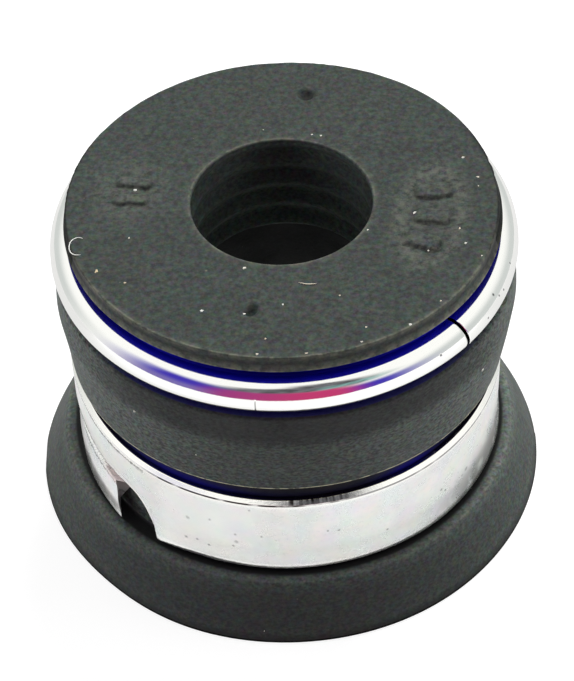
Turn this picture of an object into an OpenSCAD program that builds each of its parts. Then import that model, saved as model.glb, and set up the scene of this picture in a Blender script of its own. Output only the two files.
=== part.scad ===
// Valve stem seal: a moulded rubber body, a round wire ring in its upper groove and a lapped
// strip clamp round its neck. +Z runs up the stem axis and z = 0 is the underside of the foot.
// The clamp's lap is on the side of -X and -Y, the ring's cut on the side of +X and -Y.

/* [Body] */
// Radius of the flat top face
top_r = 10; // [9.6:0.1:10.4]
// Widening of the top lip from its straight edge to its lower corner
lip_flare = 0.15; // [0.05:0.05:0.3]
// Height of the top lip above the ring groove
lip_h = 0.75; // [0.6:0.05:1.2]
// Height of the straight edge under the top face
lip_edge = 0.3; // [0.1:0.05:0.45]
// Radius of the barrel on its widest line
barrel_r = 10.9; // [10.7:0.1:11.2]
// Height of the barrel from its lower lip to the ring shelf
barrel_h = 5.15; // [4.6:0.05:6]
// Height of the widest line above the lower lip
crease_h = 3.4; // [2.4:0.1:3.8]
// Narrowing of the barrel from its widest line to the lower lip
barrel_taper = 0.4; // [0.2:0.05:0.5]
// Narrowing of the barrel from its widest line to the ring shelf
barrel_crown = 0.1; // [0:0.05:0.2]
// Radius of the round on the barrel's upper edge
barrel_round = 0.2; // [0.1:0.05:0.3]
// Height of the sloping underside of the lower lip
lip_under = 0.3; // [0.1:0.05:0.6]
// Radius of the neck that seats the clamp band
neck_r = 10; // [9.6:0.05:10.1]

/* [Foot] */
// Radius of the foot at its widest
foot_r = 12.6; // [12:0.1:13]
// Radius of the ridge at the top of the foot
ridge_r = 11.2; // [10.9:0.1:11.6]
// Height of the ledge at the top of the foot
foot_h = 2.9; // [2.4:0.1:3.6]
// Radius of the round on the ridge
ridge_round = 0.3; // [0.1:0.05:0.4]
// Radius of the round on the foot's lower edge
foot_round = 0.1; // [0.05:0.05:0.4]

/* [Bores] */
// Radius of the stem bore on the crests of its ribs
stem_r = 4.2; // [3.8:0.05:4.6]
// Depth of the grooves between the ribs
rib_depth = 0.25; // [0.1:0.05:0.4]
// Distance from one rib to the next
rib_pitch = 1.25; // [1:0.05:1.4]
// Height of the flat crest of a rib
rib_land = 0.35; // [0.2:0.05:0.5]
// Number of grooves in the stem bore
rib_grooves = 4; // [2:1:5]
// Width and height of the bevel under the lowest rib
throat = 0.8; // [0.4:0.1:0.85]
// Height from the top of the guide bore to the lowest rib
guide_gap = 1.25; // [0.9:0.05:1.8]
// Radius of the guide bore
guide_r = 6.9; // [6.4:0.1:7.4]
// Width and height of the bevel at the mouth of the guide bore
lead_in = 0.8; // [0.3:0.1:1.2]

/* [Top face] */
// Diameter of the two dimples in the top face
dimple_d = 0.9; // [0.5:0.1:1.4]
// Depth of the two dimples
dimple_depth = 0.2; // [0.1:0.05:0.4]
// Distance of the rear dimple from the axis
dimple_rear_r = 7.55; // [6.5:0.05:8.2]
// Distance of the front dimple from the axis
dimple_front_r = 7.25; // [6.5:0.05:8.2]
// Bearing of the rear dimple, the front one lies opposite
dimple_az = 78.5; // [60:0.5:120]
// Height of the plain raised bars
bar_h = 0.1; // [0.05:0.05:0.2]
// Length of a raised bar along the radius
bar_l = 1.5; // [1:0.1:1.8]
// Distance of the bars' centres from the axis
bar_r = 7; // [6.4:0.1:7.6]
// Width of each bar of the pair
pair_w = 0.6; // [0.4:0.05:0.8]
// Bearing of the middle of the pair
pair_az = 171.5; // [140:0.5:220]
// Angle from one bar of the pair to the other
pair_step = 9.5; // [8:0.5:14]
// Width of each bar of the row of three
row_w = 0.9; // [0.6:0.05:1.2]
// Bearing of the middle bar of the row
row_az = 348; // [320:0.5:375]
// Angle from one bar of the row to the next
row_step = 14; // [12:0.5:18]

/* [Wire ring] */
// Diameter of the wire
wire_d = 1.7; // [1.4:0.05:1.9]
// Radius of the floor of the ring groove
groove_r = 9.2; // [9.1:0.05:9.4]
// Clearance of the wire from the groove's floor and shelf
ring_fit = 0.02; // [0.01:0.01:0.1]
// Height of the groove above the wire at its open side
ring_head = 0.5; // [0.4:0.05:0.9]
// Fall of the groove's roof from its open side to its floor
roof_fall = 0.35; // [0.1:0.05:0.4]
// Width of the cut in the ring
ring_cut = 0.15; // [0.1:0.05:0.6]
// Bearing of the cut in the ring
ring_cut_az = 318.5; // [290:0.5:345]

/* [Clamp band] */
// Thickness of the strip
band_t = 0.4; // [0.3:0.05:0.5]
// Height of the strip
band_h = 4.6; // [4.2:0.1:5.2]
// Height of the bevel on the strip's upper edge
bevel_h = 0.2; // [0.05:0.05:0.3]
// Width of the bevel across the strip
bevel_w = 0.25; // [0.05:0.05:0.25]
// Clearance of the strip from the neck
band_fit = 0.02; // [0.01:0.01:0.1]
// Gap from the strip up to the barrel's lower lip
band_above = 1.15; // [0.8:0.05:1.6]
// Gap from the strip down to the ledge
band_below = 0.25; // [0.15:0.05:0.5]
// Bearing of the root of the upper tongue
lap_az = 229.5; // [200:0.5:260]
// Angle from each tongue's free end to the root of the other one
lap_gap = 8.5; // [7:0.5:14]
// Angle of each tongue from its root to its free end
tongue_deg = 52; // [36:1:64]
// Height of the lower tongue
tongue_low = 2.05; // [1.9:0.05:2.3]
// Seam between the two tongues
seam_gap = 0.15; // [0.08:0.01:0.3]
// Radius of the round at the root of each tongue
root_r = 1.7; // [0.6:0.1:1.8]
// Distance that the lower tongue's free end stands off
tongue_rise = 0.45; // [0:0.05:0.7]
// Setback of the upper corner on the lower tongue's free end
end_slant = 0.4; // [0:0.1:1.2]

/* [Hidden] */
// Heights of the body from the ledge to the top face
lip_z = foot_h + band_below + band_h + band_above;
shelf_z = lip_z + barrel_h;
roof_z = shelf_z + ring_fit + wire_d + ring_head;
body_h = roof_z + lip_h;
// Heights in the bores
rib_flank = (rib_pitch - rib_land) / 3;
rib_z = body_h - rib_grooves * rib_pitch - rib_land;
guide_z = rib_z - guide_gap;
// Centre line of the wire
ring_r = groove_r + ring_fit + wire_d / 2;
ring_z = shelf_z + ring_fit + wire_d / 2;
ring_cut_deg = ring_cut / ring_r * 180 / PI;
// Strip, seam and roots of the clamp band
band_r = neck_r + band_fit;
band_mid = band_r + band_t / 2;
band_z = foot_h + band_below;
seam_z = band_z + tongue_low;
root_clear = 0.15;
root_wall = 0.2;
upper_root = min(root_r, tongue_low - root_wall);
lower_root = min(root_r, band_h - tongue_low - seam_gap - root_wall, band_r * sin(lap_gap) - root_wall);
upper_deg = asin(upper_root / band_r);
lower_deg = asin(lower_root / band_r);
low_az = lap_az - lap_gap - tongue_deg;
// Wider arc of the lower tongue from a little beyond its root, its start tucked into the strip
join_step = asin(root_clear / 2 / band_r);
join_deg = lower_deg + join_step;
join_inset = 0.005;
free_len = band_mid * (tongue_deg - join_deg) * PI / 180;
spring_mid = 1 / (1 / band_mid - 2 * tongue_rise / (free_len * free_len));
spring_deg = free_len / spring_mid * 180 / PI;
$fn = 88;

// Points of an arc in the half section, as radius and height
function arc(r, z, rad, a0, a1, n) =
    [for (i = [0:n]) [r + rad * cos(a0 + (a1 - a0) * i / n), z + rad * sin(a0 + (a1 - a0) * i / n)]];

// Stem bore from the top face down: crest, groove, crest and so on
function ribs() = concat(
    [for (i = [0:rib_grooves - 1]) each [
        [stem_r, body_h - i * rib_pitch],
        [stem_r, body_h - i * rib_pitch - rib_land],
        [stem_r + rib_depth, body_h - i * rib_pitch - rib_land - rib_flank],
        [stem_r + rib_depth, body_h - i * rib_pitch - rib_land - 2 * rib_flank]]],
    [[stem_r, rib_z + rib_land], [stem_r, rib_z]]);

// Foot: round lower edge, flared side and round ridge
function foot() =
    let (run = ridge_r - ridge_round - foot_r + foot_round)
    let (rise = foot_h - ridge_round - foot_round)
    let (side = atan2(rise, run) - acos((foot_round - ridge_round) / norm([run, rise])))
    concat(
        arc(foot_r - foot_round, foot_round, foot_round, -90, side, 5),
        arc(ridge_r - ridge_round, foot_h - ridge_round, ridge_round, side, 90, 4));

// Half section of the rubber body
module body_section() {
    crown_r = barrel_r - barrel_crown - barrel_round;
    polygon(concat(
        [[guide_r + lead_in, 0]],
        foot(),
        [[neck_r, foot_h],
         [neck_r, lip_z - lip_under],
         [barrel_r - barrel_taper, lip_z],
         [barrel_r, lip_z + crease_h]],
        arc(crown_r, shelf_z - barrel_round, barrel_round, 0, 90, 3),
        [[groove_r, shelf_z],
         [groove_r, roof_z - roof_fall],
         [top_r + lip_flare, roof_z],
         [top_r, body_h - lip_edge],
         [top_r, body_h]],
        ribs(),
        [[stem_r + throat, rib_z - throat],
         [guide_r, guide_z],
         [guide_r, lead_in]]));
}

// Shallow round dimple in the top face
module dimple(dist, az) {
    rotate([0, 0, az])
        translate([dist, 0, body_h - dimple_depth])
            cylinder(d1 = dimple_d * 0.6, d2 = dimple_d, h = dimple_depth + 0.001, $fn = 24);
}

// Plain bar that stands on the top face and points at the axis
module raised_bar(width, az) {
    rotate([0, 0, az])
        translate([bar_r - bar_l / 2, -width / 2, body_h - bar_h])
            cube([bar_l, width, 2 * bar_h]);
}

// One moulded rubber piece with both bores
module seal_body() {
    color([0.13, 0.135, 0.13]) {
        difference() {
            rotate_extrude()
                body_section();
            dimple(dimple_rear_r, dimple_az);
            dimple(dimple_front_r, dimple_az + 180);
        }
        for (i = [-0.5, 0.5])
            raised_bar(pair_w, pair_az + i * pair_step);
        for (i = [-1:1])
            raised_bar(row_w, row_az + i * row_step);
    }
}

// Round wire bent into an open ring
module wire_ring() {
    color([0.78, 0.79, 0.8])
        rotate([0, 0, ring_cut_az + ring_cut_deg / 2])
            rotate_extrude(angle = 360 - ring_cut_deg)
                translate([ring_r, ring_z])
                    circle(d = wire_d, $fn = 32);
}

// Opening with a round inner corner beside a tongue's root, seen along the radius
module root_opening(az, z, rad, side) {
    rotate([0, 0, az])
        translate([0, 0, z])
            rotate([90, 0, 90])
                linear_extrude(height = band_r + 2 * band_t)
                    scale([side, side]) {
                        translate([0, rad])
                            square([rad + root_clear, band_h]);
                        translate([rad, 0])
                            square([root_clear, band_h]);
                        intersection() {
                            translate([rad, rad])
                                circle(rad);
                            square(rad + root_clear);
                        }
                    }
}

// Opening under the upper tongue, from beyond its free end to its root
module lower_opening() {
    past = (lap_gap - lower_deg) / 2;
    rotate([0, 0, lap_az - tongue_deg - past])
        rotate_extrude(angle = tongue_deg + past - upper_deg - join_step)
            translate([band_r - band_t, band_z - band_t])
                square([3 * band_t, tongue_low + seam_gap + band_t]);
    root_opening(lap_az, seam_z + seam_gap, upper_root, -1);
}

// Free length of the lower tongue on its wider arc, with a slanted end
module free_tongue() {
    rotate([0, 0, low_az + join_deg])
        translate([band_mid - spring_mid, 0, 0])
            difference() {
                rotate([0, 0, -join_step])
                    rotate_extrude(angle = spring_deg + join_step)
                        translate([spring_mid - band_t / 2 + join_inset, band_z + join_inset])
                            square([band_t - 2 * join_inset, tongue_low - 2 * join_inset]);
                rotate([0, 0, spring_deg])
                    translate([0, 0, band_z])
                        rotate([90, 0, 90])
                            linear_extrude(height = spring_mid + 2 * band_t)
                                polygon([
                                    [root_wall, -root_wall],
                                    [-band_fit, -root_wall],
                                    [-band_fit - 2 * end_slant, 2 * tongue_low],
                                    [root_wall, 2 * tongue_low]]);
            }
}

// Section of the strip with its upper outer edge bevelled
module strip_section() {
    polygon([
        [0, 0],
        [band_t, 0],
        [band_t, band_h - bevel_h],
        [band_t - bevel_w, band_h],
        [0, band_h]]);
}

// Flat strip round the neck with two lapped tongues
module clamp_band() {
    color([0.72, 0.73, 0.72])
        union() {
            difference() {
                rotate([0, 0, lap_az - tongue_deg])
                    rotate_extrude(angle = 360 - lap_gap + join_deg)
                        translate([band_r, band_z])
                            strip_section();
                lower_opening();
                root_opening(low_az, seam_z, lower_root, 1);
            }
            free_tongue();
        }
}

seal_body();
wire_ring();
clamp_band();
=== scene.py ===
"""Looks of a valve stem seal: moulded rubber body, bright wire ring and lapped clamp band."""
import math

import bpy
import numpy as np
from mathutils import Matrix, Vector


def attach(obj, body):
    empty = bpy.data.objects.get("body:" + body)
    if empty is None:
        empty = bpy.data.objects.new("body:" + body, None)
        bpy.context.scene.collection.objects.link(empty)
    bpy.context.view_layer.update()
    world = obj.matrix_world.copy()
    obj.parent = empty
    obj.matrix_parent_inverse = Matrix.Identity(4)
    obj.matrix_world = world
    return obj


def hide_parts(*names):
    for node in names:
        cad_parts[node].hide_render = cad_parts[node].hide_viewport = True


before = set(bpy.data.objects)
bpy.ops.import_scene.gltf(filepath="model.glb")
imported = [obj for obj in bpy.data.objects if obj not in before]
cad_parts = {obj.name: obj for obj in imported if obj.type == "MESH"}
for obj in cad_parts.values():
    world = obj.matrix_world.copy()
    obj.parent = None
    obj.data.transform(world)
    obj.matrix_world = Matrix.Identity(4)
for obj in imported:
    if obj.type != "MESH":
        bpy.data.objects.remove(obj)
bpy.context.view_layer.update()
scene = bpy.context.scene
MM = 0.001
TAU = 2 * math.pi

# Sizes of the part in mm, z = 0 at the underside of the foot and the front towards -Y
TOP_Z, TOP_R = 17.02, 10.0
ROOF_Z, SHELF_Z, GROOVE_R = 16.27, 14.05, 9.2
BARREL_R, CREASE_Z, LIP_Z, NECK_R = 10.9, 12.3, 8.9, 10.0
FOOT_R, RIDGE_R, FOOT_H = 12.6, 11.2, 2.9
STEM_R, RIB_PITCH, RIB_DEPTH, RIB_LAND, RIBS = 4.2, 1.25, 0.25, 0.35, 5
GUIDE_R, GUIDE_Z, LEAD_IN, UNDER_R = 6.9, 10.42, 0.8, 10.2
BAR_R, BAR_HALF, BAR_ROUND = 7.0, 0.75, 0.2
RING_R, RING_Z, RING_SHIFT, WIRE_R, WIRE_SIDES = 10.07, 14.92, 0.05, 0.85, 48
CUT_AZ, CUT_W, EASED_END = 318.5, 0.1, 0.14
BAND_R, BAND_T, BAND_Z, BAND_TOP, BAND_ROUND = 10.02, 0.4, 3.15, 7.75, 0.035
SEAM_Z, SEAM_GAP = 5.2, 0.15

# Bearings in degrees, counted on along the piece: the band's tongues, the wire's nick and smudge
UP_FREE, UP_ROOT, LOW_ROOT, LOW_FREE = 177.5, 229.5, 529.0, 581.0
NICK_AZ, SMUDGE_AZ = 261.8 + 360, 272.7 + 360

# How far the body's outside sits off centre in x at each height, and how far it stays inside the solids' box
SHIFT_Z = [0, 3, 8.6, 10.5, 14, 16.2, 16.5]
SHIFT_X = [-0.05, -0.05, 0, 0.07, 0.07, 0.05, 0]
BOX_GAP = 0.001

# Steps of the body's mesh: degrees from one meridian to the next, mm along the section
FINE_SECTORS = ((160, 183), (325, 370), (254, 264), (73, 83))
FINE_TURN, COARSE_TURN = 0.44, 2.1
SIDE_STEP, INSIDE_STEP, BORE_STEP = 0.45, 1.4, 0.11

# Plain raised bars on the top face (bearing, width) and its two dimples (x, y)
BARS = [(az, 0.6) for az in (166.5, 176.0)] + [(az, 0.9) for az in (334.0, 348.0, 362.0)]
DIMPLES = [(1.505, 7.40), (-1.57, -7.06)]

# Pits in the wire: bearing, turn round the wire, size
WIRE_PITS = [
    (330.6, 48, 0.065), (332.0, 29, 0.05), (342.7, 42, 0.05),
    (334.6, 24, 0.05), (325.3, 11, 0.05), (307.9, 25, 0.06)]

# Pits in the band's face: bearing, height, size
BAND_PITS = [
    (241.3, 5.55, 0.11), (247.7, 5.92, 0.075), (240.4, 4.04, 0.09), (243.6, 4.13, 0.07), (246.9, 3.97, 0.07),
    (254.4, 5.23, 0.075), (254.6, 4.69, 0.11), (253.7, 4.34, 0.07), (261.3, 5.31, 0.06), (281.3, 5.44, 0.07),
    (278.4, 5.54, 0.06), (258.5, 7.16, 0.07), (323.0, 4.84, 0.13), (294.7, 4.43, 0.07), (313.9, 4.79, 0.06)]

# Dust on the top face: x, y, size, length, turn, tint from white to gold
SPECKS = [
    (-1.78, -4.36, 0.075, 1.2, 0.6, 0.25), (-3.69, -6.93, 0.07, 1.2, 0.3, 0.0),
    (-0.13, -6.75, 0.055, 1.0, 0.0, 0.0), (-8.39, -4.18, 0.075, 1.9, 1.2, 0.85),
    (-7.10, -4.98, 0.05, 1.2, 0.4, 0.7), (-6.97, -2.10, 0.045, 1.5, 1.4, 0.4),
    (-0.94, -8.78, 0.045, 1.2, 0.9, 0.6), (5.36, -8.29, 0.075, 1.1, 0.2, 0.1),
    (3.44, -8.33, 0.05, 1.1, 0.8, 0.5), (8.19, -3.35, 0.065, 1.3, 0.5, 0.1),
    (6.79, -6.93, 0.05, 1.3, 1.1, 0.6), (2.39, -6.33, 0.045, 1.1, 0.0, 0.6),
    (-6.75, 1.10, 0.075, 1.0, 0.0, 0.0), (-7.05, 0.62, 0.065, 1.1, 0.5, 0.0),
    (-6.59, 0.28, 0.05, 1.0, 0.2, 0.1), (8.56, 2.43, 0.06, 1.4, 0.3, 0.2),
    (9.13, 1.03, 0.06, 1.6, -0.3, 0.4), (9.10, 0.41, 0.045, 1.0, 0.0, 0.3),
    (-0.72, 4.98, 0.045, 1.0, 0.0, 0.3), (1.57, 4.50, 0.05, 1.2, 0.0, 0.2),
    (1.99, 4.40, 0.05, 1.2, 0.2, 0.2), (3.85, -2.22, 0.05, 1.4, 0.7, 0.3),
    (6.07, -1.20, 0.06, 2.2, 0.5, 0.1), (6.40, -0.92, 0.05, 1.5, 0.5, 0.2),
    (8.00, -2.37, 0.05, 1.8, 1.3, 0.6), (6.49, -3.72, 0.05, 1.0, 0.0, 0.2),
    (-1.73, -6.71, 0.05, 1.2, 0.4, 0.1), (-1.83, -7.22, 0.05, 1.3, 0.1, 0.1),
    (8.84, -4.20, 0.05, 1.2, 0.9, 0.3), (-1.32, -9.68, 0.06, 1.1, 0.4, 0.4),
    (3.2, -9.2, 0.04, 1.4, 0.1, 0.3), (0.8, -9.75, 0.045, 2.2, 0.1, 0.5)]

# Grit on the walls: bearing, height, radius, size
WALL_SPECKS = [
    (323.9, 11.94, 10.94, 0.06), (229.9, 12.15, 10.85, 0.06),
    (246.2, 10.72, 10.68, 0.04), (262.3, 0.58, 12.34, 0.05)]


# Helpers for numbers

def ease(x, a, b):
    """0 below a, 1 above b, smooth between."""
    t = np.clip((np.asarray(x, float) - a) / (b - a), 0, 1)
    return t * t * (3 - 2 * t)


def hump(x, middle, width):
    """Smooth bump that is 1 at its middle."""
    return np.exp(-((x - middle) / width) ** 2)


def cos_sin(deg):
    """Cosine and sine of an angle in degrees."""
    return math.cos(math.radians(deg)), math.sin(math.radians(deg))


def ripple(t, seed, waves, low, high):
    """Seeded sum of sines with whole-number waves, about -1 to 1, periodic over a turn."""
    rng = np.random.default_rng(seed)
    total = np.zeros_like(np.asarray(t, float))
    for _ in range(waves):
        total = total + np.sin(rng.integers(low, high) * t + rng.uniform(0, TAU))
    return total / math.sqrt(waves)


def grain(x, y, seed, waves, low, high):
    """Seeded plane noise, about -1 to 1, with wave numbers from low to high per mm."""
    rng = np.random.default_rng(seed)
    total = np.zeros_like(np.asarray(x, float))
    for _ in range(waves):
        a, k = rng.uniform(0, TAU), rng.uniform(low, high)
        total = total + np.sin(k * (x * math.cos(a) + y * math.sin(a)) + rng.uniform(0, TAU))
    return total / math.sqrt(waves)


# Helpers for meshes

def rounded(corners, step):
    """Open line of (radius, height) points: arcs at the corners that have a round, steps between."""
    pts = []
    for i, (r, z, rad) in enumerate(corners):
        p = np.array([r, z])
        if i in (0, len(corners) - 1) or rad == 0:
            arc = [p]
        else:
            u = np.array(corners[i - 1][:2]) - p
            w = np.array(corners[i + 1][:2]) - p
            u, w = u / np.linalg.norm(u), w / np.linalg.norm(w)
            half = math.acos(max(-1.0, min(1.0, float(u @ w)))) / 2
            mid = (u + w) / np.linalg.norm(u + w)
            c = p + mid * rad / math.sin(half)
            t0, t1 = p + u * rad / math.tan(half) - c, p + w * rad / math.tan(half) - c
            a0, a1 = math.atan2(t0[1], t0[0]), math.atan2(t1[1], t1[0])
            turn = (a1 - a0 + math.pi) % TAU - math.pi
            n = max(2, int(abs(turn) / math.radians(15)) + 1)
            arc = [c + rad * np.array([math.cos(a0 + turn * k / n), math.sin(a0 + turn * k / n)])
                   for k in range(n + 1)]
        if pts:
            # a short hold beside each corner keeps its shading crisp
            last, d = pts[-1], arc[0] - pts[-1]
            length = float(np.linalg.norm(d))
            hold = min(0.04, length / 4)
            n = max(1, int(math.ceil((length - 2 * hold) / step)))
            for k in range(n + 1):
                pts.append(last + d * (hold + (length - 2 * hold) * k / n) / length)
        pts.extend(arc)
    return np.array(pts)


def grid_faces(rows, columns, closed):
    """Quads of a grid of points that closes round its columns, and round its rows if closed."""
    i, j = np.meshgrid(np.arange(rows if closed else rows - 1), np.arange(columns), indexing="ij")
    i2, j2 = (i + 1) % rows, (j + 1) % columns
    quads = [i * columns + j, i2 * columns + j, i2 * columns + j2, i * columns + j2]
    return np.stack(quads, 2).reshape(-1, 4).tolist()


def cap_ends(verts, faces, columns):
    """Close both ends of a grid with flat faces that have corners of their own."""
    base = len(verts)
    faces.append(tuple(range(base, base + columns)))
    faces.append(tuple(range(base + 2 * columns - 1, base + columns - 1, -1)))
    return np.concatenate([verts, verts[:columns], verts[base - columns:]])


def put(name, verts, faces, materials, node, slot, index=None, **attributes):
    """Mesh piece in mm that rides on the part's only body and stands for a node."""
    mesh = bpy.data.meshes.new(name)
    mesh.from_pydata((np.asarray(verts) * MM).tolist(), [], faces)
    mesh.polygons.foreach_set("use_smooth", [True] * len(mesh.polygons))
    for m in materials:
        mesh.materials.append(m)
    if index is not None:
        mesh.polygons.foreach_set("material_index", index)
    for key, values in attributes.items():
        layer = mesh.attributes.new(key, "FLOAT", "POINT")
        layer.data.foreach_set("value", np.asarray(values, np.float32))
    mesh.update()
    obj = bpy.data.objects.new(name, mesh)
    scene.collection.objects.link(obj)
    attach(obj, "root")
    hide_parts(node)


# Materials

class Nodes:
    """Short way to write the nodes of a material or a world."""

    def __init__(self, owner, output="ShaderNodeOutputMaterial"):
        self.owner = owner
        owner.use_nodes = True
        self.tree = owner.node_tree
        self.tree.nodes.clear()
        self.out = self.add(output)

    def add(self, kind, inputs=None, **props):
        node = self.tree.nodes.new(kind)
        for k, v in props.items():
            setattr(node, k, v)
        for k, v in (inputs or {}).items():
            if isinstance(v, bpy.types.NodeSocket):
                self.tree.links.new(v, node.inputs[k])
            else:
                node.inputs[k].default_value = v
        return node

    def math(self, op, a, b=0.0, c=0.0, clamp=False):
        return self.add("ShaderNodeMath", {0: a, 1: b, 2: c}, operation=op, use_clamp=clamp).outputs[0]

    def vector(self, op, output, *values):
        return self.add("ShaderNodeVectorMath", dict(enumerate(values)), operation=op).outputs[output]

    def span(self, value, a, b, c=0.0, d=1.0):
        return self.add("ShaderNodeMapRange", {0: value, 1: a, 2: b, 3: c, 4: d}).outputs[0]

    def mix(self, factor, a, b, blend="MIX"):
        inputs = {0: factor, 6: a, 7: b}
        return self.add("ShaderNodeMix", inputs, data_type="RGBA", blend_type=blend).outputs[2]

    def multiply(self, a, b):
        return self.mix(1.0, a, b, "MULTIPLY")

    def mm(self, scale=(1, 1, 1)):
        where = self.add("ShaderNodeTexCoord").outputs["Object"]
        size = tuple(s / MM for s in scale)
        return self.add("ShaderNodeMapping", {"Vector": where, "Scale": size}).outputs[0]

    def clouds(self, vector, scale, detail=2.0, rough=0.5):
        inputs = {"Vector": vector, "Scale": scale, "Detail": detail, "Roughness": rough}
        return self.add("ShaderNodeTexNoise", inputs).outputs

    def noise(self, *values):
        return self.clouds(*values)["Fac"]

    def spots(self, vector, scale, edge, core):
        """1 in the middle of each cell of a scattered pattern, 0 from the edge out."""
        cells = self.add("ShaderNodeTexVoronoi", {"Vector": vector, "Scale": scale})
        return self.span(cells.outputs["Distance"], edge, core)

    def attribute(self, name):
        return self.add("ShaderNodeAttribute", attribute_name=name).outputs["Fac"]

    def bump(self, height, strength, distance, normal=None):
        links = {"Height": height, "Strength": strength, "Distance": distance * MM}
        if normal is not None:
            links["Normal"] = normal
        return self.add("ShaderNodeBump", links).outputs[0]

    def finish(self, shader):
        self.tree.links.new(shader.outputs[0], self.out.inputs[0])
        return self.owner

    def shade(self, inputs):
        return self.finish(self.add("ShaderNodeBsdfPrincipled", inputs))


def new_material(name):
    return Nodes(bpy.data.materials.new(name))


def rubber_material(name, gloss):
    n = new_material(name)
    p = n.mm()
    # plain tone: blotches, streaks round the axis and fine coloured speckle
    blotch = n.noise(p, 0.55, 3.0, 0.55)
    streak = n.noise(n.mm((0.12, 0.12, 4.0)), 1.0, 3.0, 0.6)
    tone = n.mix(n.span(blotch, 0.3, 0.7), (0.0405, 0.0495, 0.0450, 1), (0.0530, 0.065, 0.0590, 1))
    tone = n.mix(n.span(streak, 0.35, 0.7, 0.0, 0.35), tone, (0.059, 0.065, 0.054, 1))
    fine = n.clouds(p, 3.4, 3.0, 0.6)["Color"]
    tone = n.multiply(tone, n.vector("MULTIPLY_ADD", 0, fine, (1.45, 1.45, 1.45), (0.275, 0.275, 0.275)))
    # mottling, and the tone that the mesh carries with its painted shade and painted highlights
    rough = n.span(n.noise(n.mm((0.8, 0.8, 1.3)), 6.4, 2.0, 0.6), 0.32, 0.68, -1.0, 1.0)
    shade = n.math("MAXIMUM", n.math("MULTIPLY_ADD", rough, n.attribute("mottle"), 1.0), 0.0)
    shade = n.math("MULTIPLY", shade, n.attribute("tone"))
    tone = n.multiply(tone, n.add("ShaderNodeCombineXYZ", {0: shade, 1: shade, 2: shade}).outputs[0])
    # pale dots, scuffs with painted highlights, and painted highlights along edges
    keep = n.span(n.noise(p, 1.7), 0.6, 0.64)
    dot = n.math("MULTIPLY", n.spots(p, 1.15, 0.075, 0.035), keep, clamp=True)
    tone = n.mix(n.math("MULTIPLY", dot, 0.6), tone, (0.22, 0.20, 0.15, 1))
    wear_and_highlight = n.math("MULTIPLY", n.attribute("scuff_and_highlight"), n.span(n.noise(p, 2.6, 4.0, 0.7), 0.42, 0.62))
    tone = n.mix(n.math("MULTIPLY", wear_and_highlight, 0.5), tone, (0.17, 0.175, 0.14, 1))
    broken = n.span(n.noise(p, 2.2, 3.0, 0.6), 0.4, 0.56, 0.1, 1.0)
    edge_highlight = n.math("MULTIPLY", n.attribute("edge"), broken, clamp=True)
    tone = n.mix(edge_highlight, tone, (0.80, 0.77, 0.54, 1))
    # painted shade tinted dark blue in the groove and the gaps
    dye = n.attribute("dye")
    blue = n.add("ShaderNodeCombineXYZ", {0: 0.002, 1: 0.001, 2: n.math("MULTIPLY", dye, 0.5)}).outputs[0]
    tone = n.mix(n.math("MULTIPLY", dye, 4.0, clamp=True), tone, blue)
    relief, swell = n.noise(p, 5.5, 4.0, 0.65), n.noise(p, 1.1, 2.0, 0.5)
    normal = n.bump(swell, 0.45, 0.05, n.bump(relief, 0.65, 0.03))
    return n.shade({"Base Color": tone, "Roughness": n.span(blotch, 0.3, 0.7, 0.52, 0.68),
                    "Specular IOR Level": gloss, "Normal": normal})


def dust_material():
    n = new_material("dust_and_lint")
    tone = n.mix(n.attribute("tint"), (0.92, 0.92, 0.88, 1), (0.62, 0.45, 0.20, 1))
    tone = n.mix(n.span(n.noise(n.mm(), 12.0), 0.3, 0.7, 0.0, 0.3), tone, (0.55, 0.54, 0.48, 1))
    return n.shade({"Base Color": tone, "Roughness": 0.7})


def wire_material():
    n = new_material("polished_wire")
    p = n.mm()
    scratch = n.noise(n.mm((0.6, 0.6, 9.0)), 1.0, 3.0, 0.6)
    keep = n.span(n.noise(p, 1.3), 0.56, 0.6)
    pit = n.math("MULTIPLY", n.spots(p, 0.9, 0.085, 0.045), keep, clamp=True)
    for deg, turn, size in WIRE_PITS:
        (c, s), (out, up) = cos_sin(deg), cos_sin(turn)
        rad = RING_R + WIRE_R * out
        at = (rad * c + RING_SHIFT, rad * s, RING_Z + WIRE_R * up)
        pit = n.math("MAXIMUM", pit, n.span(n.vector("DISTANCE", "Value", p, at), size * 1.4, size * 0.5))
    dark = n.math("MAXIMUM", pit, n.attribute("nick"))
    tone = n.mix(n.math("MULTIPLY", dark, 0.85), (0.95, 0.95, 0.925, 1), (0.05, 0.05, 0.055, 1))
    height = n.math("SUBTRACT", n.math("MULTIPLY", scratch, 0.12), dark)
    return n.shade({"Base Color": tone, "Metallic": 1.0,
                    "Roughness": n.span(scratch, 0.3, 0.7, 0.055, 0.13),
                    "Normal": n.bump(height, 0.35, 0.02)})


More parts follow.
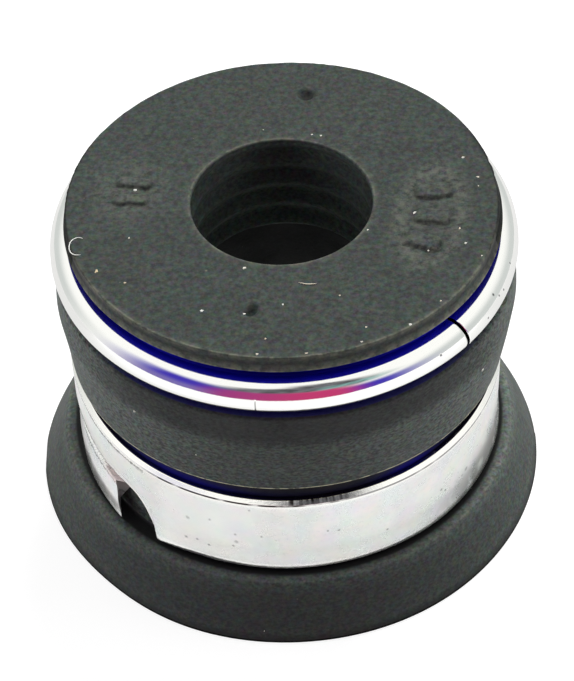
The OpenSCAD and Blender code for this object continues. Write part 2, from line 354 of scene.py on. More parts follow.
def band_material():
    n = new_material("plated_band")
    p = n.mm()
    # plating: clouds with a faint hue and fine dull flecks
    clouds = n.clouds(p, 0.75, 4.0, 0.6)
    cloud, hue = clouds["Fac"], n.multiply(clouds["Color"], (1.7, 1.7, 1.7, 1))
    spark = n.noise(p, 4.5, 3.0, 0.65)
    tone = n.mix(n.span(cloud, 0.3, 0.7), (0.88, 0.90, 0.88, 1), (0.96, 0.965, 0.935, 1))
    tone = n.mix(0.14, tone, hue)
    tone = n.mix(n.span(spark, 0.55, 0.75, 0.0, 0.25), tone, (0.62, 0.63, 0.64, 1))
    # pits
    keep = n.span(n.noise(p, 0.9), 0.50, 0.54)
    pit = n.math("MULTIPLY", n.spots(p, 1.05, 0.12, 0.05), keep, clamp=True)
    for deg, up, size in BAND_PITS:
        c, s = cos_sin(deg)
        at = ((BAND_R + BAND_T) * c, (BAND_R + BAND_T) * s, up)
        pit = n.math("MAXIMUM", pit, n.span(n.vector("DISTANCE", "Value", p, at), size * 1.3, size * 0.4))
    tone = n.mix(n.math("MULTIPLY", pit, 0.6), tone, (0.2, 0.2, 0.19, 1))
    # painted highlights on the edges, painted shade and painted dark reflections, blue-tinted painted shade
    # and raw metal, as the mesh carries them
    shine, raw = n.attribute("shine"), n.attribute("raw")
    tone = n.mix(shine, tone, (1.0, 0.99, 0.95, 1))
    broken = n.span(n.noise(p, 1.3, 2.0), 0.33, 0.5, 0.3, 1.0)
    line = n.math("MULTIPLY", n.attribute("line"), broken, clamp=True)
    tone = n.mix(line, tone, (0.03, 0.022, 0.016, 1))
    tone = n.mix(n.attribute("dye"), tone, (0.02, 0.02, 0.22, 1))
    tone = n.mix(raw, tone, (0.92, 0.77, 0.74, 1))
    metallic = n.math("MULTIPLY_ADD", raw, -1.0, n.span(shine, 0.0, 1.0, 0.75, 1.0), clamp=True)
    rough = n.math("SUBTRACT", n.span(cloud, 0.3, 0.7, 0.24, 0.34), n.math("MULTIPLY", shine, 0.18))
    draw = n.noise(n.mm((0.25, 0.25, 5.0)), 1.0, 3.0, 0.6)
    height = n.math("ADD", n.math("MULTIPLY", spark, 0.5), n.math("MULTIPLY", draw, 0.25))
    height = n.math("SUBTRACT", height, pit)
    return n.shade({"Base Color": tone, "Metallic": metallic, "Roughness": rough,
                    "Normal": n.bump(height, 0.25, 0.03)})


# Rubber body

def meridians():
    """Bearings of the body's meridians, closer together where the top face has detail."""
    a, out = 0.0, []
    while a < 360:
        out.append(a)
        near = any(lo <= a < hi or lo <= a + 360 < hi for lo, hi in FINE_SECTORS)
        a += FINE_TURN if near else COARSE_TURN
    return np.radians(np.array(out))


def top_rings():
    """Radii of the rings on the top face from the bore to the rim, closer together where the bars are."""
    return np.concatenate([np.linspace(4.36, 6.0, 9), np.arange(6.1, 7.95, 0.055),
                           np.linspace(8.0, 9.86, 13)])


def body_section():
    """Half section below the top face: rim, lip, groove, barrel, neck, foot and bores."""
    side = rounded([
        (9.9, TOP_Z, 0), (TOP_R, TOP_Z, 0.06), (TOP_R + 0.01, TOP_Z - 0.3, 0.12),
        (TOP_R + 0.15, ROOF_Z, 0.07), (GROOVE_R, ROOF_Z - 0.35, 0.1), (GROOVE_R, SHELF_Z, 0.15),
        (BARREL_R - 0.1, SHELF_Z, 0.2), (BARREL_R, CREASE_Z, 1.2), (BARREL_R - 0.4, LIP_Z, 0.09),
        (NECK_R, LIP_Z - 0.3, 0.1), (NECK_R, 8.3, 0), (NECK_R, 7.9, 0),
        (NECK_R, FOOT_H, 0.12), (10.6, FOOT_H, 0), (10.69, FOOT_H, 0), (10.84, FOOT_H, 0),
        (RIDGE_R + 0.033, FOOT_H, 0.3), (FOOT_R + 0.063, 0, 0.1), (UNDER_R, 0, 0)], SIDE_STEP)
    inside = rounded([
        (UNDER_R, 0, 0), (GUIDE_R + LEAD_IN, 0, 0.1), (GUIDE_R, LEAD_IN, 0.15), (GUIDE_R, GUIDE_Z, 0.2),
        (STEM_R + 0.8, GUIDE_Z + 0.45, 0.15),
        (STEM_R, TOP_Z - (RIBS - 1) * RIB_PITCH - RIB_LAND, 0)], INSIDE_STEP)[1:]
    depth = np.arange((RIBS - 1) * RIB_PITCH + RIB_LAND - 0.06, 0.12, -BORE_STEP)
    wave = 0.5 - 0.5 * np.cos(TAU * (depth - RIB_LAND / 2) / RIB_PITCH)
    wave = np.where(depth < RIB_LAND / 2, 0, wave)
    wave = np.where(depth > (RIBS - 1) * RIB_PITCH + RIB_LAND / 2, 0, wave)
    bore = np.stack([STEM_R + RIB_DEPTH * wave, TOP_Z - depth], 1)
    mouth = np.array([[STEM_R + 0.09 * (1 - math.cos(a)), TOP_Z - 0.09 * (1 - math.sin(a))]
                      for a in np.linspace(0, math.pi / 2, 5)])
    return np.concatenate([side, inside, bore, mouth])


def body_grid():
    """Bearing, radius and height of the body's points, and 1 for the rows of the top face."""
    az, rings = meridians(), top_rings()
    line = np.concatenate([np.stack([rings, np.full(len(rings), TOP_Z)], 1), body_section()])
    r, z = np.repeat(line[:, :1], len(az), 1), np.repeat(line[:, 1:], len(az), 1)
    a = np.repeat(az[None, :], len(line), 0)
    top = np.zeros((len(line), 1))
    top[:len(rings)] = 1
    return a, r, z, top


def moulded_outline(a, r, z):
    """Radius, x and y of the body's points, a little out of round as moulded rubber is."""
    deg = np.degrees(a)
    # thin moulding flash and nicks along the rim of the top face
    rim = (np.abs(z - TOP_Z) < 0.16) & (r > 9.8)
    flash = (0.5 + 0.5 * ripple(a, 11, 12, 30, 160)) * (0.6 + 0.4 * ripple(a, 12, 5, 3, 14))
    r = np.where(rim, r - 0.035 * np.clip(flash, 0, 1.6) * (r - 9.8) / 0.2, r)
    # slow wander of the walls, a top that is out of round and a foot that is trimmed unevenly
    r = r + np.where((r > 9.9) & (z < 16), 0.008 * ripple(a, 15, 6, 2, 9), 0)
    bulge = 0.11 * hump(deg, 47, 28) - 0.05 * hump(deg, 125, 25)
    r = r + np.where(z > 16.2, bulge * np.clip((r - 8.5) / 1.5, 0, 1), 0)
    trim = 0.12 * hump(deg, 222, 16) + 0.06 * hump(deg, 20, 20) + 0.08 * hump(deg, 160, 14)
    r = r - np.where((z < FOOT_H - 0.1) & (r > 10.9), trim * (r - 10.9) / 1.7, 0)
    x, y = r * np.cos(a) + np.interp(z, SHIFT_Z, SHIFT_X) * (r > 8.9), r * np.sin(a)
    return r, np.maximum(x, -FOOT_R + BOX_GAP), np.minimum(y, FOOT_R - BOX_GAP)


def top_relief(x, y):
    """Height of the top face's dimples and plain raised bars, where it is scuffed and where the rim has a
    painted highlight, and where it has painted shade.
    """
    h, dark = 0.006 * grain(x, y, 3, 14, 0.8, 2.4), np.zeros_like(x)
    for az, wide in BARS:
        c, s = cos_sin(az)
        u = np.abs(x * c + y * s - BAR_R) - BAR_HALF + BAR_ROUND
        v = np.abs(-x * s + y * c) - wide / 2 + BAR_ROUND
        d = np.hypot(np.maximum(u, 0), np.maximum(v, 0)) + np.minimum(np.maximum(u, v), 0)
        d = d - BAR_ROUND + 0.03 * grain(x, y, int(az), 6, 4, 9)
        h = h + 0.088 * (1 - ease(d, -0.07, 0.07)) - 0.03 * hump(d, 0.14, 0.1)
        # painted shade round each bar, strongest on its front side
        dark = dark + 0.85 * hump(d, 0.07, 0.11) * (0.3 + 0.7 * ease(BAR_R * s - y, -0.1, 0.3))
    for i, (dx, dy) in enumerate(DIMPLES):
        d = np.hypot(x - dx, (y - dy) * 1.05) + 0.09 * grain(x, y, 40 + i, 6, 3, 8)
        h = h - 0.24 * (1 - ease(d, 0.10, 0.44)) + 0.025 * hump(d, 0.5, 0.09)
        # painted shade in each dimple
        dark = dark + 0.5 * (1 - ease(d, 0.15, 0.4))
    # a scuffed ring round the row of three, a scuffed patch at the pair and a painted highlight along the rim
    # in front
    c, s = cos_sin(348)
    e = np.hypot((x * c + y * s - 6.9) / 1.45, (-x * s + y * c) / 3.1)
    scuff_and_highlight = 0.5 * hump(e, 1.0, 0.2) + 0.5 * (1 - ease(e, 0.8, 1.5))
    c, s = cos_sin(171.5)
    e = np.hypot((x * c + y * s - 7.1) / 1.5, (-x * s + y * c) / 2.0)
    scuff_and_highlight = scuff_and_highlight + 0.55 * (1 - ease(e, 0.6, 1.4))
    rim = hump(np.hypot(x, y), 9.93, 0.1) * ease(-y, 2, 8) * 0.5
    return h, np.clip(scuff_and_highlight + rim, 0, 1), np.clip(dark, 0, 0.9)


def body_wear_and_highlights(y, r, z, scuff_and_highlight, top):
    """Scuffing, mottling and painted highlights of the body."""
    scuff_and_highlight = scuff_and_highlight * np.maximum(top, (z > 16.8) & (r > 9.6))
    # painted highlights along the foot's lower rounding and along its ridge, laid on with the scuffs
    foot_highlight = 0.4 * hump(z, 0.45, 0.2) * (r > 12) + hump(z, FOOT_H, 0.14) * (r > 10.9)
    scuff_and_highlight = np.clip(scuff_and_highlight + 0.45 * foot_highlight, 0, 1)
    # the barrel's wall is more mottled than the rest
    wall = (r > 9.97) * (z < 14.3) * (z > FOOT_H + 0.05)
    mottle = 0.38 + 0.2 * scuff_and_highlight + 0.45 * wall
    # painted highlights along the barrel's lower lip, the top lip, the rim and the mouth of the bore
    front, high = ease(-y, 1, 6), z > 16.85
    edge = 1.6 * hump(z, LIP_Z + 0.02, 0.055) * (r > 10.3) * (z < LIP_Z + 0.06)
    edge = edge + 0.26 * hump(z, ROOF_Z + 0.06, 0.05) * (r > 10.05) * front
    edge = edge + 0.12 * hump(r, 9.95, 0.07) * high * front
    edge = edge + 0.1 * hump(r, 4.3, 0.06) * high
    return scuff_and_highlight, mottle, edge


def gap_dye(deg):
    """Two patches of blue-tinted painted shade in the gap above the band."""
    return hump(deg, 240, 17) + hump(deg, 303, 9)


def body_dye(deg, r, z, face):
    """Painted shade tinted dark blue in the ring's groove, on its shelf and in the gap above the band, weaker
    to the sides.
    """
    groove = (z > SHELF_Z + 0.02) & (z < ROOF_Z + 0.02) & (r < 10.4) & (r > 9)
    shelf = (z > SHELF_Z - 0.03) & (z < SHELF_Z + 0.05) & (r < 10.9) & (r > 9)
    gap = ease(z, 7.3, 7.6) * (1 - ease(z, 8.0, 8.5)) * (r > 9.9) * (r < 10.1)
    patch = 0.08 + 0.2 * gap_dye(deg)
    return np.clip(groove * (0.45 + 0.55 * face) + 0.18 * shelf * face + gap * patch, 0, 1)


def body_shade_and_tone(a, x, r, z, face, dark, top):
    """Share of the rubber's plain tone at each point of the body, with painted shade and painted highlights
    laid on it.
    """
    deg = np.degrees(a)
    # painted shade: the barrel's upper half in front, the foot (most in front), the top lip and the guide
    # bore are painted darker than the rest
    tone = 1 - 0.74 * ease(z, 11.9, 12.8) * (z < 14.2) * (r > 9) * face
    tone = tone * (1 - (0.06 + 0.22 * face) * (z < FOOT_H + 0.1) * (r > 10.5))
    tone = tone * (1 - 0.4 * ease(z, 16.4, 16.6) * (z < 17) * (r > 9.98))
    tone = tone * (1 - 0.8 * (r < 7.2) * (1 - ease(z, 10.5, 12)))
    # painted light: the barrel's wall is painted paler to the sides and darker in front, and the ribs are
    # painted paler deep in the bore, darker to the left and right and darker on the flanks that face up to
    # the light
    wall = (z > LIP_Z - 0.05) * (z < 14.2) * (r > 10.3)
    tone = tone * (1 + wall * (0.3 - 0.37 * hump(deg, 270, 24)))
    lit = np.clip(-np.sin(TAU * (TOP_Z - z - RIB_LAND / 2) / RIB_PITCH), 0, 1)
    ribbed = (1 - 0.4 * lit) * (2.0 + 2.2 * ease(TOP_Z - z, 1, 5)) * (1 - 0.65 * np.cos(a) ** 2)
    tone = tone * np.where((r < 4.8) & (z < 16.9) & (z > 11), ribbed, 1)
    # painted shade along the foot's lower edge, and a painted highlight along its ridge
    tone = tone * (1 - 0.85 * (r > 12) * (1 - ease(z, 0.1, 0.38)))
    ridge = hump(r, 11.1, 0.3) * (z > 2.2) * (z < FOOT_H + 0.06) * (r > 10.8)
    tone = tone * (1 + 0.9 * ridge)
    # painted shade in the corners: under the band, under the lip, beside the bars and along the rim at both
    # sides
    ledge = (np.abs(z - FOOT_H) < 0.06) & (r > 9.95) & (r < 11.3)
    tone = tone * np.where(ledge, 0.06 + 1.24 * ease(r, 10.67, 10.85), 1)
    under = ease(z, 7.0, 7.5) * (1 - ease(z, LIP_Z - 0.1, LIP_Z - 0.02)) * (r > 9.9) * (r < 10.6)
    tone = tone * (1 - 0.9 * under)
    sides = ease(np.abs(x), 8.4, 9.4) * (z > ROOF_Z) * ease(r, 9.85, 9.95)
    tone = tone * (1 - 0.85 * sides)
    # the top face is paler round its pair of bars
    tone = tone * (1 + 0.28 * hump(deg, 172, 15) * hump(r, 7.2, 1.9) * top)
    # painted shade beside the bars and in the dimples, and the whole top face painted 13% darker as painted
    # shade where the most light falls
    return tone * (1 - dark * top) * (1 - 0.13 * top)


def body_finish(x, r, z):
    """Number of each face's material: 0 plain rubber, 2 a less glossy copy as painted shade in recesses, 3 an
    almost matt copy as painted shade along the foot's lower edge and the lip's sides.
    """
    inner = (r < 7.3) & (z < 16.9) | (z > 7.4) & (z < LIP_Z - 0.05) & (r < 10.4)
    inner = inner | (z > SHELF_Z - 0.02) & (z < ROOF_Z - 0.02) & (r < 10.7)
    shaded_edges = (z < 0.2) & (r > 12.2) | (z > ROOF_Z) & (z < 17) & (r > 9.96) & (np.abs(x) > 9.6)
    return np.where(shaded_edges, 3, np.where(inner, 2, 0)).ravel().tolist()


def blob(x, y, z, size, long, turn):
    """Small flattened grain of dust."""
    verts, faces = [(0, 0, 0.7)], []
    for rad, up in ((0.6, 0.5), (1.0, 0.0)):
        for k in range(8):
            a = TAU * k / 8
            wob = 1 + 0.25 * math.sin(3 * a + turn * 5)
            verts.append((rad * wob * math.cos(a) * long, rad * wob * math.sin(a), up))
    for k in range(8):
        faces.append((0, 1 + k, 1 + (k + 1) % 8))
        faces.append((1 + k, 9 + k, 9 + (k + 1) % 8, 1 + (k + 1) % 8))
    v = np.array(verts) * size
    c, s = math.cos(turn), math.sin(turn)
    return np.stack([x + v[:, 0] * c - v[:, 1] * s, y + v[:, 0] * s + v[:, 1] * c, z + v[:, 2]], 1), faces


def thread(points, rad, sides=6):
    """Fine fibre through the given points."""
    p = np.array(points, float)
    t = np.gradient(p, axis=0)
    t /= np.linalg.norm(t, axis=1)[:, None]
    side = np.cross(t, (0, 0, 1))
    side /= np.linalg.norm(side, axis=1)[:, None]
    up = np.cross(side, t)
    taper = np.minimum(1, np.minimum(np.arange(len(p)) + 0.6, len(p) - np.arange(len(p)) - 0.4) / 2.5)
    verts = []
    for i in range(len(p)):
        for k in range(sides):
            a = TAU * k / sides
            verts.append(p[i] + rad * taper[i] * (math.cos(a) * side[i] + math.sin(a) * up[i]))
    faces = []
    for i in range(len(p) - 1):
        for k in range(sides):
            a, b = i * sides + k, i * sides + (k + 1) % sides
            faces.append((a, b, b + sides, a + sides))
    return np.array(verts), faces


def litter():
    """Dust grains, grit, a curl of lint and a short fibre: points, faces and tint of each."""
    bits = [(blob(x, y, TOP_Z - 0.01, size, long, turn), tint) for x, y, size, long, turn, tint in SPECKS]
    for deg, up, rad, size in WALL_SPECKS:
        c, s = cos_sin(deg)
        grit, facets = blob(0, 0, 0, size, 1.3, deg)
        grit = np.stack([grit[:, 2] * c - grit[:, 0] * s, grit[:, 2] * s + grit[:, 0] * c, grit[:, 1]], 1)
        bits.append(((grit + (rad * c, rad * s, up), facets), 0.15))
    curl = [(-9.27 + 0.40 * math.cos(b), -2.55 + 0.58 * math.sin(b), TOP_Z + 0.03 + 0.01 * math.sin(3 * b))
            for b in np.linspace(math.radians(58), math.radians(292), 22)]
    bits.append((thread(curl, 0.024), 0.0))
    hair = [(0.6 + 0.8 * t, -5.44 - 0.1 * t - 0.08 * math.sin(3 * t), TOP_Z + 0.02)
            for t in np.linspace(0, 1, 9)]
    bits.append((thread(hair, 0.03), 0.5))
    return bits


def make_body():
    """Moulded rubber body with the litter that lies on it."""
    a, r, z, top = body_grid()
    r, x, y = moulded_outline(a, r, z)
    h, scuff_and_highlight, dark = top_relief(x, y)
    z = z + h * top
    deg = np.degrees(a)
    # the front, where the painted shade and the blue-tinted painted shade are strongest
    face = ease(deg, 205, 232) * (1 - ease(deg, 305, 340))
    scuff_and_highlight, mottle, edge = body_wear_and_highlights(y, r, z, scuff_and_highlight, top)
    dye, tone = body_dye(deg, r, z, face), body_shade_and_tone(a, x, r, z, face, dark, top)
    looks = {"scuff_and_highlight": scuff_and_highlight, "dye": dye, "tint": np.zeros_like(z), "tone": tone, "edge": edge,
             "mottle": mottle}
    verts = np.stack([x, y, z], 2).reshape(-1, 3)
    faces, index = grid_faces(*z.shape, True), body_finish(x, r, z)
    # the two other copies of the rubber are less glossy, as painted shade
    materials = [rubber_material("moulded_rubber", 0.3), dust_material(),
                 rubber_material("rubber_in_recesses", 0.17), rubber_material("matt_rubber_as_shade", 0.04)]
    for (points, facets), tint in litter():
        base = len(verts)
        verts = np.concatenate([verts, points])
        faces += [tuple(base + k for k in f) for f in facets]
        index += [1] * len(facets)
        plain = {"tint": tint, "tone": 1.0}
        looks = {key: np.append(values, np.full(len(points), plain.get(key, 0.0)))
                 for key, values in looks.items()}
    put("seal_body_moulded", verts, faces, materials, "seal_body", "rubber", index, **looks)


# Wire ring

def wire_bearings(first, last):
    """Bearings along the wire, close together at its ends, at the nick and at the smudge."""
    head = np.degrees(np.array([0, 0.006, 0.016, 0.06]) / RING_R)
    tail = np.degrees(np.array([0.4, 0.22, 0.17, 0.13, 0.09, 0.06, 0.035, 0.015, 0.004, 0]) / RING_R)
    step = 1.2
    return np.concatenate([
        first + head, np.arange(first + step, NICK_AZ - 0.9, step),
        NICK_AZ + np.linspace(-0.7, 0.7, 15), np.arange(NICK_AZ + step, SMUDGE_AZ - 1.0, step),
        SMUDGE_AZ + np.linspace(-0.8, 0.8, 9), np.arange(SMUDGE_AZ + step, last - 2.6, step), last - tail])


def make_ring():
    """Round wire with flat ends at the cut, one of them eased, and a fine nick."""
    half = math.degrees(CUT_W / 2 / RING_R)
    first, last = CUT_AZ + half, CUT_AZ - half + 360
    az = wire_bearings(first, last)
    head, tail = np.radians(az - first) * RING_R, np.radians(last - az) * RING_R
    rad = np.where(head < 0.015, WIRE_R - 0.015 + head, WIRE_R)
    eased = WIRE_R - EASED_END + np.sqrt(np.maximum(EASED_END ** 2 - (EASED_END - tail) ** 2, 0))
    rad = np.where(tail < EASED_END, eased, rad)
    t = np.radians(az)
    mid_r = RING_R + 0.012 * ripple(t, 21, 5, 2, 8)
    mid_z = RING_Z + 0.012 * ripple(t, 22, 5, 2, 8)
    # a nick across the wire's lower side and a smudge beside it
    phi = np.linspace(0, TAU, WIRE_SIDES, endpoint=False)[None, :]
    az, t, rad = az[:, None], t[:, None], rad[:, None]
    nick = (1 - ease(np.abs(az - NICK_AZ), 0.06, 0.16)) * ease(-np.sin(phi), -0.36, -0.24)
    rad = rad - 0.02 * nick
    smudge = hump(az, SMUDGE_AZ, 0.45) * hump(np.sin(phi), -0.5, 0.14) * (np.cos(phi) > 0)
    nick = np.maximum(nick, 0.6 * smudge)
    r, z = mid_r[:, None] + rad * np.cos(phi), mid_z[:, None] + rad * np.sin(phi)
    # the ends were cut off at a slant
    near = hump(np.minimum(az - first, last - az), 0, 5)
    t = t + np.radians(-1.2 - 0.65 * np.sin(phi)) * near
    verts = np.stack([r * np.cos(t) + RING_SHIFT, r * np.sin(t), z], 2).reshape(-1, 3)
    faces = grid_faces(len(az), WIRE_SIDES, False)
    verts = cap_ends(verts, faces, WIRE_SIDES)
    # the flat ends are painted dark, as painted shade in the cut
    nick = np.append(nick, np.ones(2 * WIRE_SIDES))
    put("wire_ring_polished", verts, faces, [wire_material()], "wire_ring", "wire", nick=nick)


# Clamp band

def strip_bearings():
    """Bearings along the strip, close together at its tongues and at the spots in front."""
    fine, coarse, beside = 0.35, 1.6, 0.002
    s = np.concatenate([np.arange(UP_FREE, 232, fine), np.arange(232, 262, coarse), np.arange(262, 290, fine),
                        np.arange(290, 526, coarse), np.arange(526, LOW_FREE, fine), [LOW_FREE]])
    roots = [UP_ROOT - beside, UP_ROOT + beside, LOW_ROOT - beside, LOW_ROOT + beside]
    return np.sort(np.concatenate([s, roots]))


def strip_edges(s):
    """Lower and upper edge of the strip at each bearing along it."""
    low, high = np.full(len(s), BAND_Z), np.full(len(s), BAND_TOP)
    gap_low = SEAM_Z + SEAM_GAP
    rad = 1.7
    d = np.radians(UP_ROOT - s) * BAND_R
    curve = gap_low - rad + np.sqrt(np.maximum(rad ** 2 - (rad - np.clip(d, 0, rad)) ** 2, 0))
    low = np.where(d > rad, gap_low, np.where(d > 0, curve, low))
    rad = 1.28
    d = np.radians(s - LOW_ROOT) * BAND_R
    curve = SEAM_Z + rad - np.sqrt(np.maximum(rad ** 2 - (rad - np.clip(d, 0, rad)) ** 2, 0))
    high = np.where(d > rad, SEAM_Z, np.where(d > 0, curve, high))
    # the two tongues were sheared apart, which left a ragged seam
    t = np.radians(s)
    torn = ease(s, UP_FREE + 8, UP_FREE + 26) * (1 - ease(s, 219, 222))
    low = low + np.where(s < 222, 0.035 * ripple(t, 31, 14, 60, 420) * torn, 0)
    torn = ease(s, LOW_ROOT + 18, LOW_ROOT + 34)
    ragged = 0.085 * np.maximum(ripple(t, 32, 14, 60, 420), -0.3) - 0.07
    high = high + np.where(s > LOW_ROOT + 10, ragged * torn, 0)
    return low, high


def strip_section():
    """Loop round the strip: distance from its inside, share of its height, rise, share of the bevel."""
    e, quarter = BAND_ROUND, np.linspace(0, math.pi / 2, 5)
    rows = np.concatenate([np.linspace(0, 0.24, 9)[:-1], np.linspace(0.24, 0.9, 10)])
    loop = [(BAND_T, v, e * (1 - v), v) for v in rows]
    loop += [(BAND_T, 1, rise, 1) for rise in (-0.3, -0.15, -0.11, -0.085, -0.008)]
    loop += [(0.3985, 1, 0, 0.99)]
    loop += [(v, 1, 0, (v - 0.17) / 0.23) for v in (0.385, 0.34, 0.28, 0.22, 0.18)]
    loop += [(0.16, 1, 0, 0), (0.05, 1, 0, 0), (0.015, 1, -0.012, 0), (0, 1, -0.05, 0)]
    loop += [(0, v, e * (1 - 2 * v), 0) for v in np.linspace(0.98, 0, 5)]
    loop += [(e - e * math.cos(q), 0, e - e * math.sin(q), 0) for q in quarter[1:]]
    loop += [(BAND_T - e + e * math.sin(q), 0, e - e * math.cos(q), 0) for q in quarter[:-1]]
    return [np.array(v)[None, :] for v in zip(*loop)]


def strip_spring(s, z, depth, rad):
    """Radius and bearing of the strip's points, where it springs off the neck and where its end is torn."""
    # the lower tongue springs away from the neck, most at its lower edge
    u = np.clip((s - LOW_ROOT - 2) / (LOW_FREE - LOW_ROOT - 2), 0, 1)
    lean = 0.53 * depth ** 1.7 * u ** 0.7 + 0.03 * u + 0.08 * u ** 3
    lean = lean - 0.2 * ease(depth, 0.55, 1) * ease(u, 0.05, 0.3)
    # the upper tongue's end, the notch's corner and the lower edge stand off a little
    lean = lean + 0.2 * hump(s, UP_FREE, 12) * (s < UP_ROOT)
    corner = np.where((s > 225) & (s < 300), 1.0, 0.0)
    lean = lean + corner * 0.16 * hump(s, 230, 9) * depth
    flare = np.clip(1 - (z - BAND_Z) / 1.1, 0, 1) ** 2
    lean = lean + 0.13 * flare * np.where(s > LOW_ROOT, 0.3, 1.0)
    # the tongue's end was torn: its outside is shorter at the top and its raw edge slopes
    inside = 1 - rad / BAND_T
    tear = -4.8 * (1 - depth) ** 0.8 * (1 - 0.9 * inside) - 0.9 * depth
    tear = tear - 3.9 * inside * ease(depth, 0.1, 0.6)
    angle = s + tear * ease(u, 0.8, 1.0)
    angle = angle + corner * 2.3 * ease(depth, 0.35, 1.0) * hump(s, UP_ROOT, 3)
    wander = np.maximum(0.01 * ripple(np.radians(s), 33, 5, 2, 10), -0.015)
    return BAND_R + rad + lean + wander, angle


def strip_painted_shade(s, depth, below, rad, share, rise):
    """Painted dark reflections, painted shade and dark seam marks of the strip."""
    face, t = rad == BAND_T, np.radians(s)
    # a painted dark reflection runs along the foot of the bevel
    along = ease(s, 226, 234) * (1 - 0.35 * ease(s, 268, 285)) * (1 - ease(s, 335, 350))
    line = ((share == 1) & (rad > 0.39) & (rise > -0.09)) * along
    # the sheared seam is dark here and there, and the bevel in front has painted dark reflections in spots
    torn = ease(s, 192, 200) * (1 - ease(s, 218, 222)) * np.clip(0.5 + ripple(t, 34, 8, 20, 90), 0, 1)
    line = line + (face & (share < 0.02)) * torn
    spots = ease(s, 265, 270) * (1 - ease(s, 281, 286)) * np.clip(0.5 + ripple(t, 35, 12, 90, 420), 0, 1)
    line = line + ((share == 1) & (rad > 0.165) & (rad < 0.39)) * spots
    # painted shade: the face is darker to the right, low on the lower tongue and low at the right
    line = line + 0.045 * face * ease(s, 285, 300) * (1 - ease(s, 345, 360))
    side = ease(s, LOW_ROOT + 14, LOW_ROOT + 32) * (1 - 0.7 * ease(s, LOW_FREE - 6, LOW_FREE - 1))
    line = line + 0.5 * face * side * ease(depth, 0.5, 1.0)
    side = ease(s, 303, 330) * (1 - ease(s, 350, 362))
    return line + 0.55 * face * side * (1 - ease(below, 0.1, 2.2))


def strip_shine(s, above, below, rad, share):
    """Painted highlights on the bevel and along the edges of the strip, which are also made shinier."""
    face = rad == BAND_T
    shine = (share == 1) * (rad > 0.16) * (rad < 0.39) + 0.7 * face * (1 - ease(above, 0.15, 0.35))
    shine = shine + 0.7 * face * (1 - ease(below, 0.1, 0.3))
    shine = shine + 0.3 * face * ease(s, 230, 236) * (1 - ease(s, 250, 268))
    return np.clip(shine * np.where(s > LOW_ROOT, 0.4, 1.0), 0, 1)


def make_band():
    """Lapped strip with a sprung and torn lower tongue."""
    s = strip_bearings()
    low, high = (edge[:, None] for edge in strip_edges(s))
    s = s[:, None]
    rad, share, rise, cut = strip_section()
    # the upper edge is bevelled across the sheet all round, but only broken along the sheared seam
    bevel = 0.1325 - 0.08 * ease(s, LOW_ROOT, LOW_ROOT + 7)
    z = low + share * (high - low) + rise - cut * bevel
    depth = np.clip((SEAM_Z - z) / (SEAM_Z - BAND_Z), 0, 1)
    r, angle = strip_spring(s, z, depth, rad)
    a = np.radians(angle)
    verts = np.stack([r * np.cos(a), r * np.sin(a), z], 2).reshape(-1, 3)
    faces = grid_faces(*z.shape, False)
    verts = cap_ends(verts, faces, rad.size)
    # raw metal on the torn end and on the ledge above it
    ledge = 0.85 * ((share == 1) & (rad > 0.1)) * ease(s, LOW_FREE - 13, LOW_FREE - 6)
    raw = np.concatenate([ledge.ravel(), np.ones(rad.size), 1 - ease(depth[-1], 0.3, 0.6)])
    # painted shade on the flat top behind the bevel, tinted blue in places
    behind, blue = (share == 1) & (rad < 0.165) & (rad > 0.01), 0.15 + gap_dye(s)
    line = strip_painted_shade(s, depth, z - low, rad, share, rise) + 3.3 * behind * (1 - 0.9 * blue)
    dye = behind * np.clip(blue, 0, 1)
    shine = strip_shine(s, high - bevel - z, z - low, rad, share)
    ends = np.zeros(2 * rad.size)
    put("clamp_band_plated", verts, faces, [band_material()], "clamp_band", "band", raw=raw,
        line=np.append(line, ends), shine=np.append(shine, ends), dye=np.append(dye, ends))


# Stage, light and camera

def rays(n):
    """1 for camera, glossy and transmission rays."""
    path = n.add("ShaderNodeLightPath")
    total = path.outputs["Is Camera Ray"]
    for name in ("Is Glossy Ray", "Is Transmission Ray"):
        total = n.math("MAXIMUM", total, path.outputs[name])
    return total


def make_stage():
    """Floor that lights the part as plain grey, and is almost white to the camera and to mirrors."""
    n = new_material("pale_floor")
    plain = n.add("ShaderNodeBsdfDiffuse", {"Color": (0.62, 0.62, 0.62, 1)})
    path = n.add("ShaderNodeLightPath")
    seen = path.outputs["Is Camera Ray"]
    veil = n.add("ShaderNodeBsdfDiffuse", {"Color": n.mix(seen, (0.2, 0.2, 0.2, 1), (0.36, 0.36, 0.36, 1))})
    # mirrors see the paper a little darker beside and behind the part than in front of it
    split = n.add("ShaderNodeSeparateXYZ", {0: n.mm()})
    far = n.math("MULTIPLY", n.span(split.outputs["Y"], -18.0, 4.0), path.outputs["Is Glossy Ray"])
    level = n.math("SUBTRACT", n.span(far, 0.0, 1.0, 0.9, 0.62), n.math("MULTIPLY", seen, 0.06))
    glow = n.add("ShaderNodeEmission", {"Color": (1, 1, 1, 1), "Strength": level})
    both = n.add("ShaderNodeAddShader", {0: veil.outputs[0], 1: glow.outputs[0]})
    mixed = n.add("ShaderNodeMixShader", {0: rays(n), 1: plain.outputs[0], 2: both.outputs[0]})
    mesh = bpy.data.meshes.new("floor")
    d = 0.6
    mesh.from_pydata([(-d, -d, 0), (d, -d, 0), (d, d, 0), (-d, d, 0)], [], [(0, 1, 2, 3)])
    mesh.materials.append(n.finish(mixed))
    floor = bpy.data.objects.new("floor", mesh)
    scene.collection.objects.link(floor)


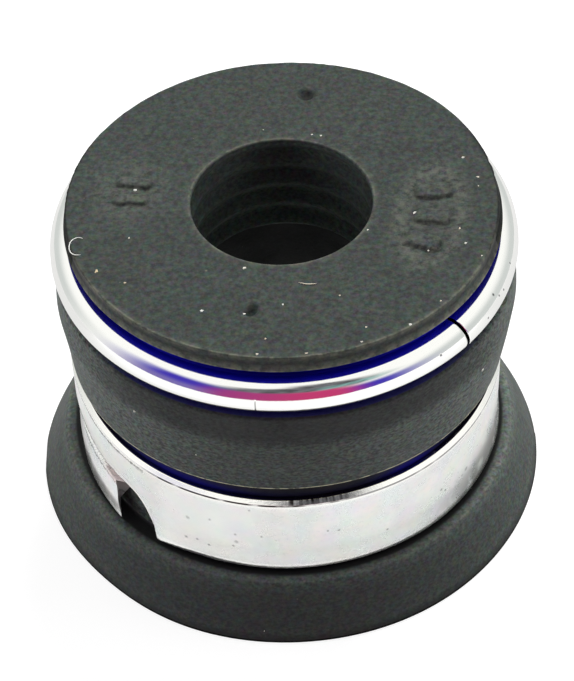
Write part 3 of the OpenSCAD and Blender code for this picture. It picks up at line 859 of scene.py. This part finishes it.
def card_colour(a, b, rng):
    """Colour of the card at a bearing and an elevation: pale, with a blue, grey and pink patch in front."""
    col = np.array([1.03, 1.03, 1.01])
    side = (1 - ease(b, 15, 45)) * max(ease(a, 300, 340), 1 - ease(a, 150, 200))
    col = col * (1 - side) + side * np.array([0.64, 0.67, 0.66])
    reach = 58 - 0.28 * max(a - 225, 0)
    wing = ease(a, 176, 212) * (1 - ease(a, 308, 342)) * (1 - ease(b, reach - 14, reach + 4))
    pale = (1 - ease(b, 8, 34)) * (1 - ease(a, 255, 275))
    col = col * (1 - wing) + wing * np.array([0.06 + 0.14 * pale, 0.04 + 0.12 * pale, 0.45])
    start = 222 + 34 * ease(b, 60, 72)
    grey = ease(a, start, start + 28) * (1 - ease(a, 306, 330)) * ease(b, 33, 44) * (1 - ease(b, 74, 88))
    green = ease(a, 278, 292) * (1 - ease(b, 50, 62))
    dull = np.array([0.10, 0.10, 0.11]) + green * np.array([0.04, 0.16, 0.14])
    col = col * (1 - grey) + grey * dull * rng.uniform(0.4, 2.2)
    pink = ease(a, 226, 244) * (1 - ease(a, 290, 306)) * (1 - ease(b, 37, 46))
    red = ease(a, 235, 285)
    return col * (1 - pink) + pink * np.array([0.34 + 0.22 * red, 0.05, 0.22 - 0.05 * red])


def make_card():
    """Pale dome with a tinted patch on the camera's side, which only mirrors such as the wire see."""
    az, el = np.arange(90, 451, 4.0), np.arange(-2, 91, 4.0)
    rad, lift = 0.3, 0.015
    verts, tint, rng = [], [], np.random.default_rng(5)
    for b in el:
        for a in az:
            (x, y), (c, s) = cos_sin(a), cos_sin(b)
            verts.append((rad * c * x, rad * c * y, rad * s + lift))
            tint.append((*card_colour(a, b, rng), 1.0))
    w = len(az)
    faces = [(i * w + j, i * w + j + 1, (i + 1) * w + j + 1, (i + 1) * w + j)
             for i in range(len(el) - 1) for j in range(w - 1)]
    mesh = bpy.data.meshes.new("card")
    mesh.from_pydata(verts, [], faces)
    layer = mesh.attributes.new("tint", "FLOAT_COLOR", "POINT")
    layer.data.foreach_set("color", np.array(tint, np.float32).ravel())
    n = new_material("tinted_card")
    colour = n.add("ShaderNodeAttribute", attribute_name="tint").outputs["Color"]
    mesh.materials.append(n.finish(n.add("ShaderNodeEmission", {"Color": colour, "Strength": 1.0})))
    card = bpy.data.objects.new("card", mesh)
    scene.collection.objects.link(card)
    card.visible_camera = card.visible_diffuse = card.visible_shadow = False
    card.visible_transmission = card.visible_volume_scatter = False


def area(name, place, target, size, power):
    """Round soft lamp that mirrors don't see."""
    lamp = bpy.data.lights.new(name, "AREA")
    lamp.shape, lamp.size, lamp.energy = "DISK", size, power
    obj = bpy.data.objects.new(name, lamp)
    obj.location = place
    obj.rotation_euler = (Vector(place) - Vector(target)).to_track_quat("Z", "Y").to_euler()
    obj.visible_glossy = False
    scene.collection.objects.link(obj)


def make_light():
    """Room that is dimmer on the camera's side and paler to both sides, with three soft lamps."""
    n = Nodes(bpy.data.worlds.new("studio"), "ShaderNodeOutputWorld")
    split = n.add("ShaderNodeSeparateXYZ", {0: n.add("ShaderNodeTexCoord").outputs["Generated"]})
    side = n.math("MULTIPLY", split.outputs["X"], split.outputs["X"])
    room = n.math("MULTIPLY_ADD", split.outputs["Y"], 0.32, 0.11)
    room = n.math("MULTIPLY_ADD", side, 0.95, room)
    level = n.span(rays(n), 0.0, 1.0, room, 1.0)
    scene.world = n.finish(n.add("ShaderNodeBackground", {"Color": (1, 1, 1, 1), "Strength": level}))
    area("key", (0.14, 0.24, 0.42), (0, 0, 0.01), 0.22, 1.9)
    area("left", (-0.40, 0.0, 0.10), (0, 0, 0.008), 0.3, 0.72)
    area("right", (0.40, 0.0, 0.10), (0, 0, 0.008), 0.3, 0.72)


def make_camera():
    """Camera fitted to the photo: its right, up and back directions and its place in metres."""
    data = bpy.data.cameras.new("camera")
    data.sensor_fit, data.sensor_width, data.lens = "AUTO", 36.0, 116.54
    data.clip_start, data.clip_end = 0.005, 5.0
    cam = bpy.data.objects.new("camera", data)
    right, up = (0.99914, -0.02985, -0.02865), (0.04137, 0.72088, 0.69181)
    back, at = (0.0, -0.69241, 0.7215), (-0.00001, -0.07482, 0.08566)
    cam.matrix_world = Matrix([*zip(right, up, back, at), (0, 0, 0, 1)])
    scene.collection.objects.link(cam)
    scene.camera = cam


make_body()
make_ring()
make_band()
make_stage()
make_card()
make_light()
make_camera()
scene.view_settings.view_transform = "Standard"
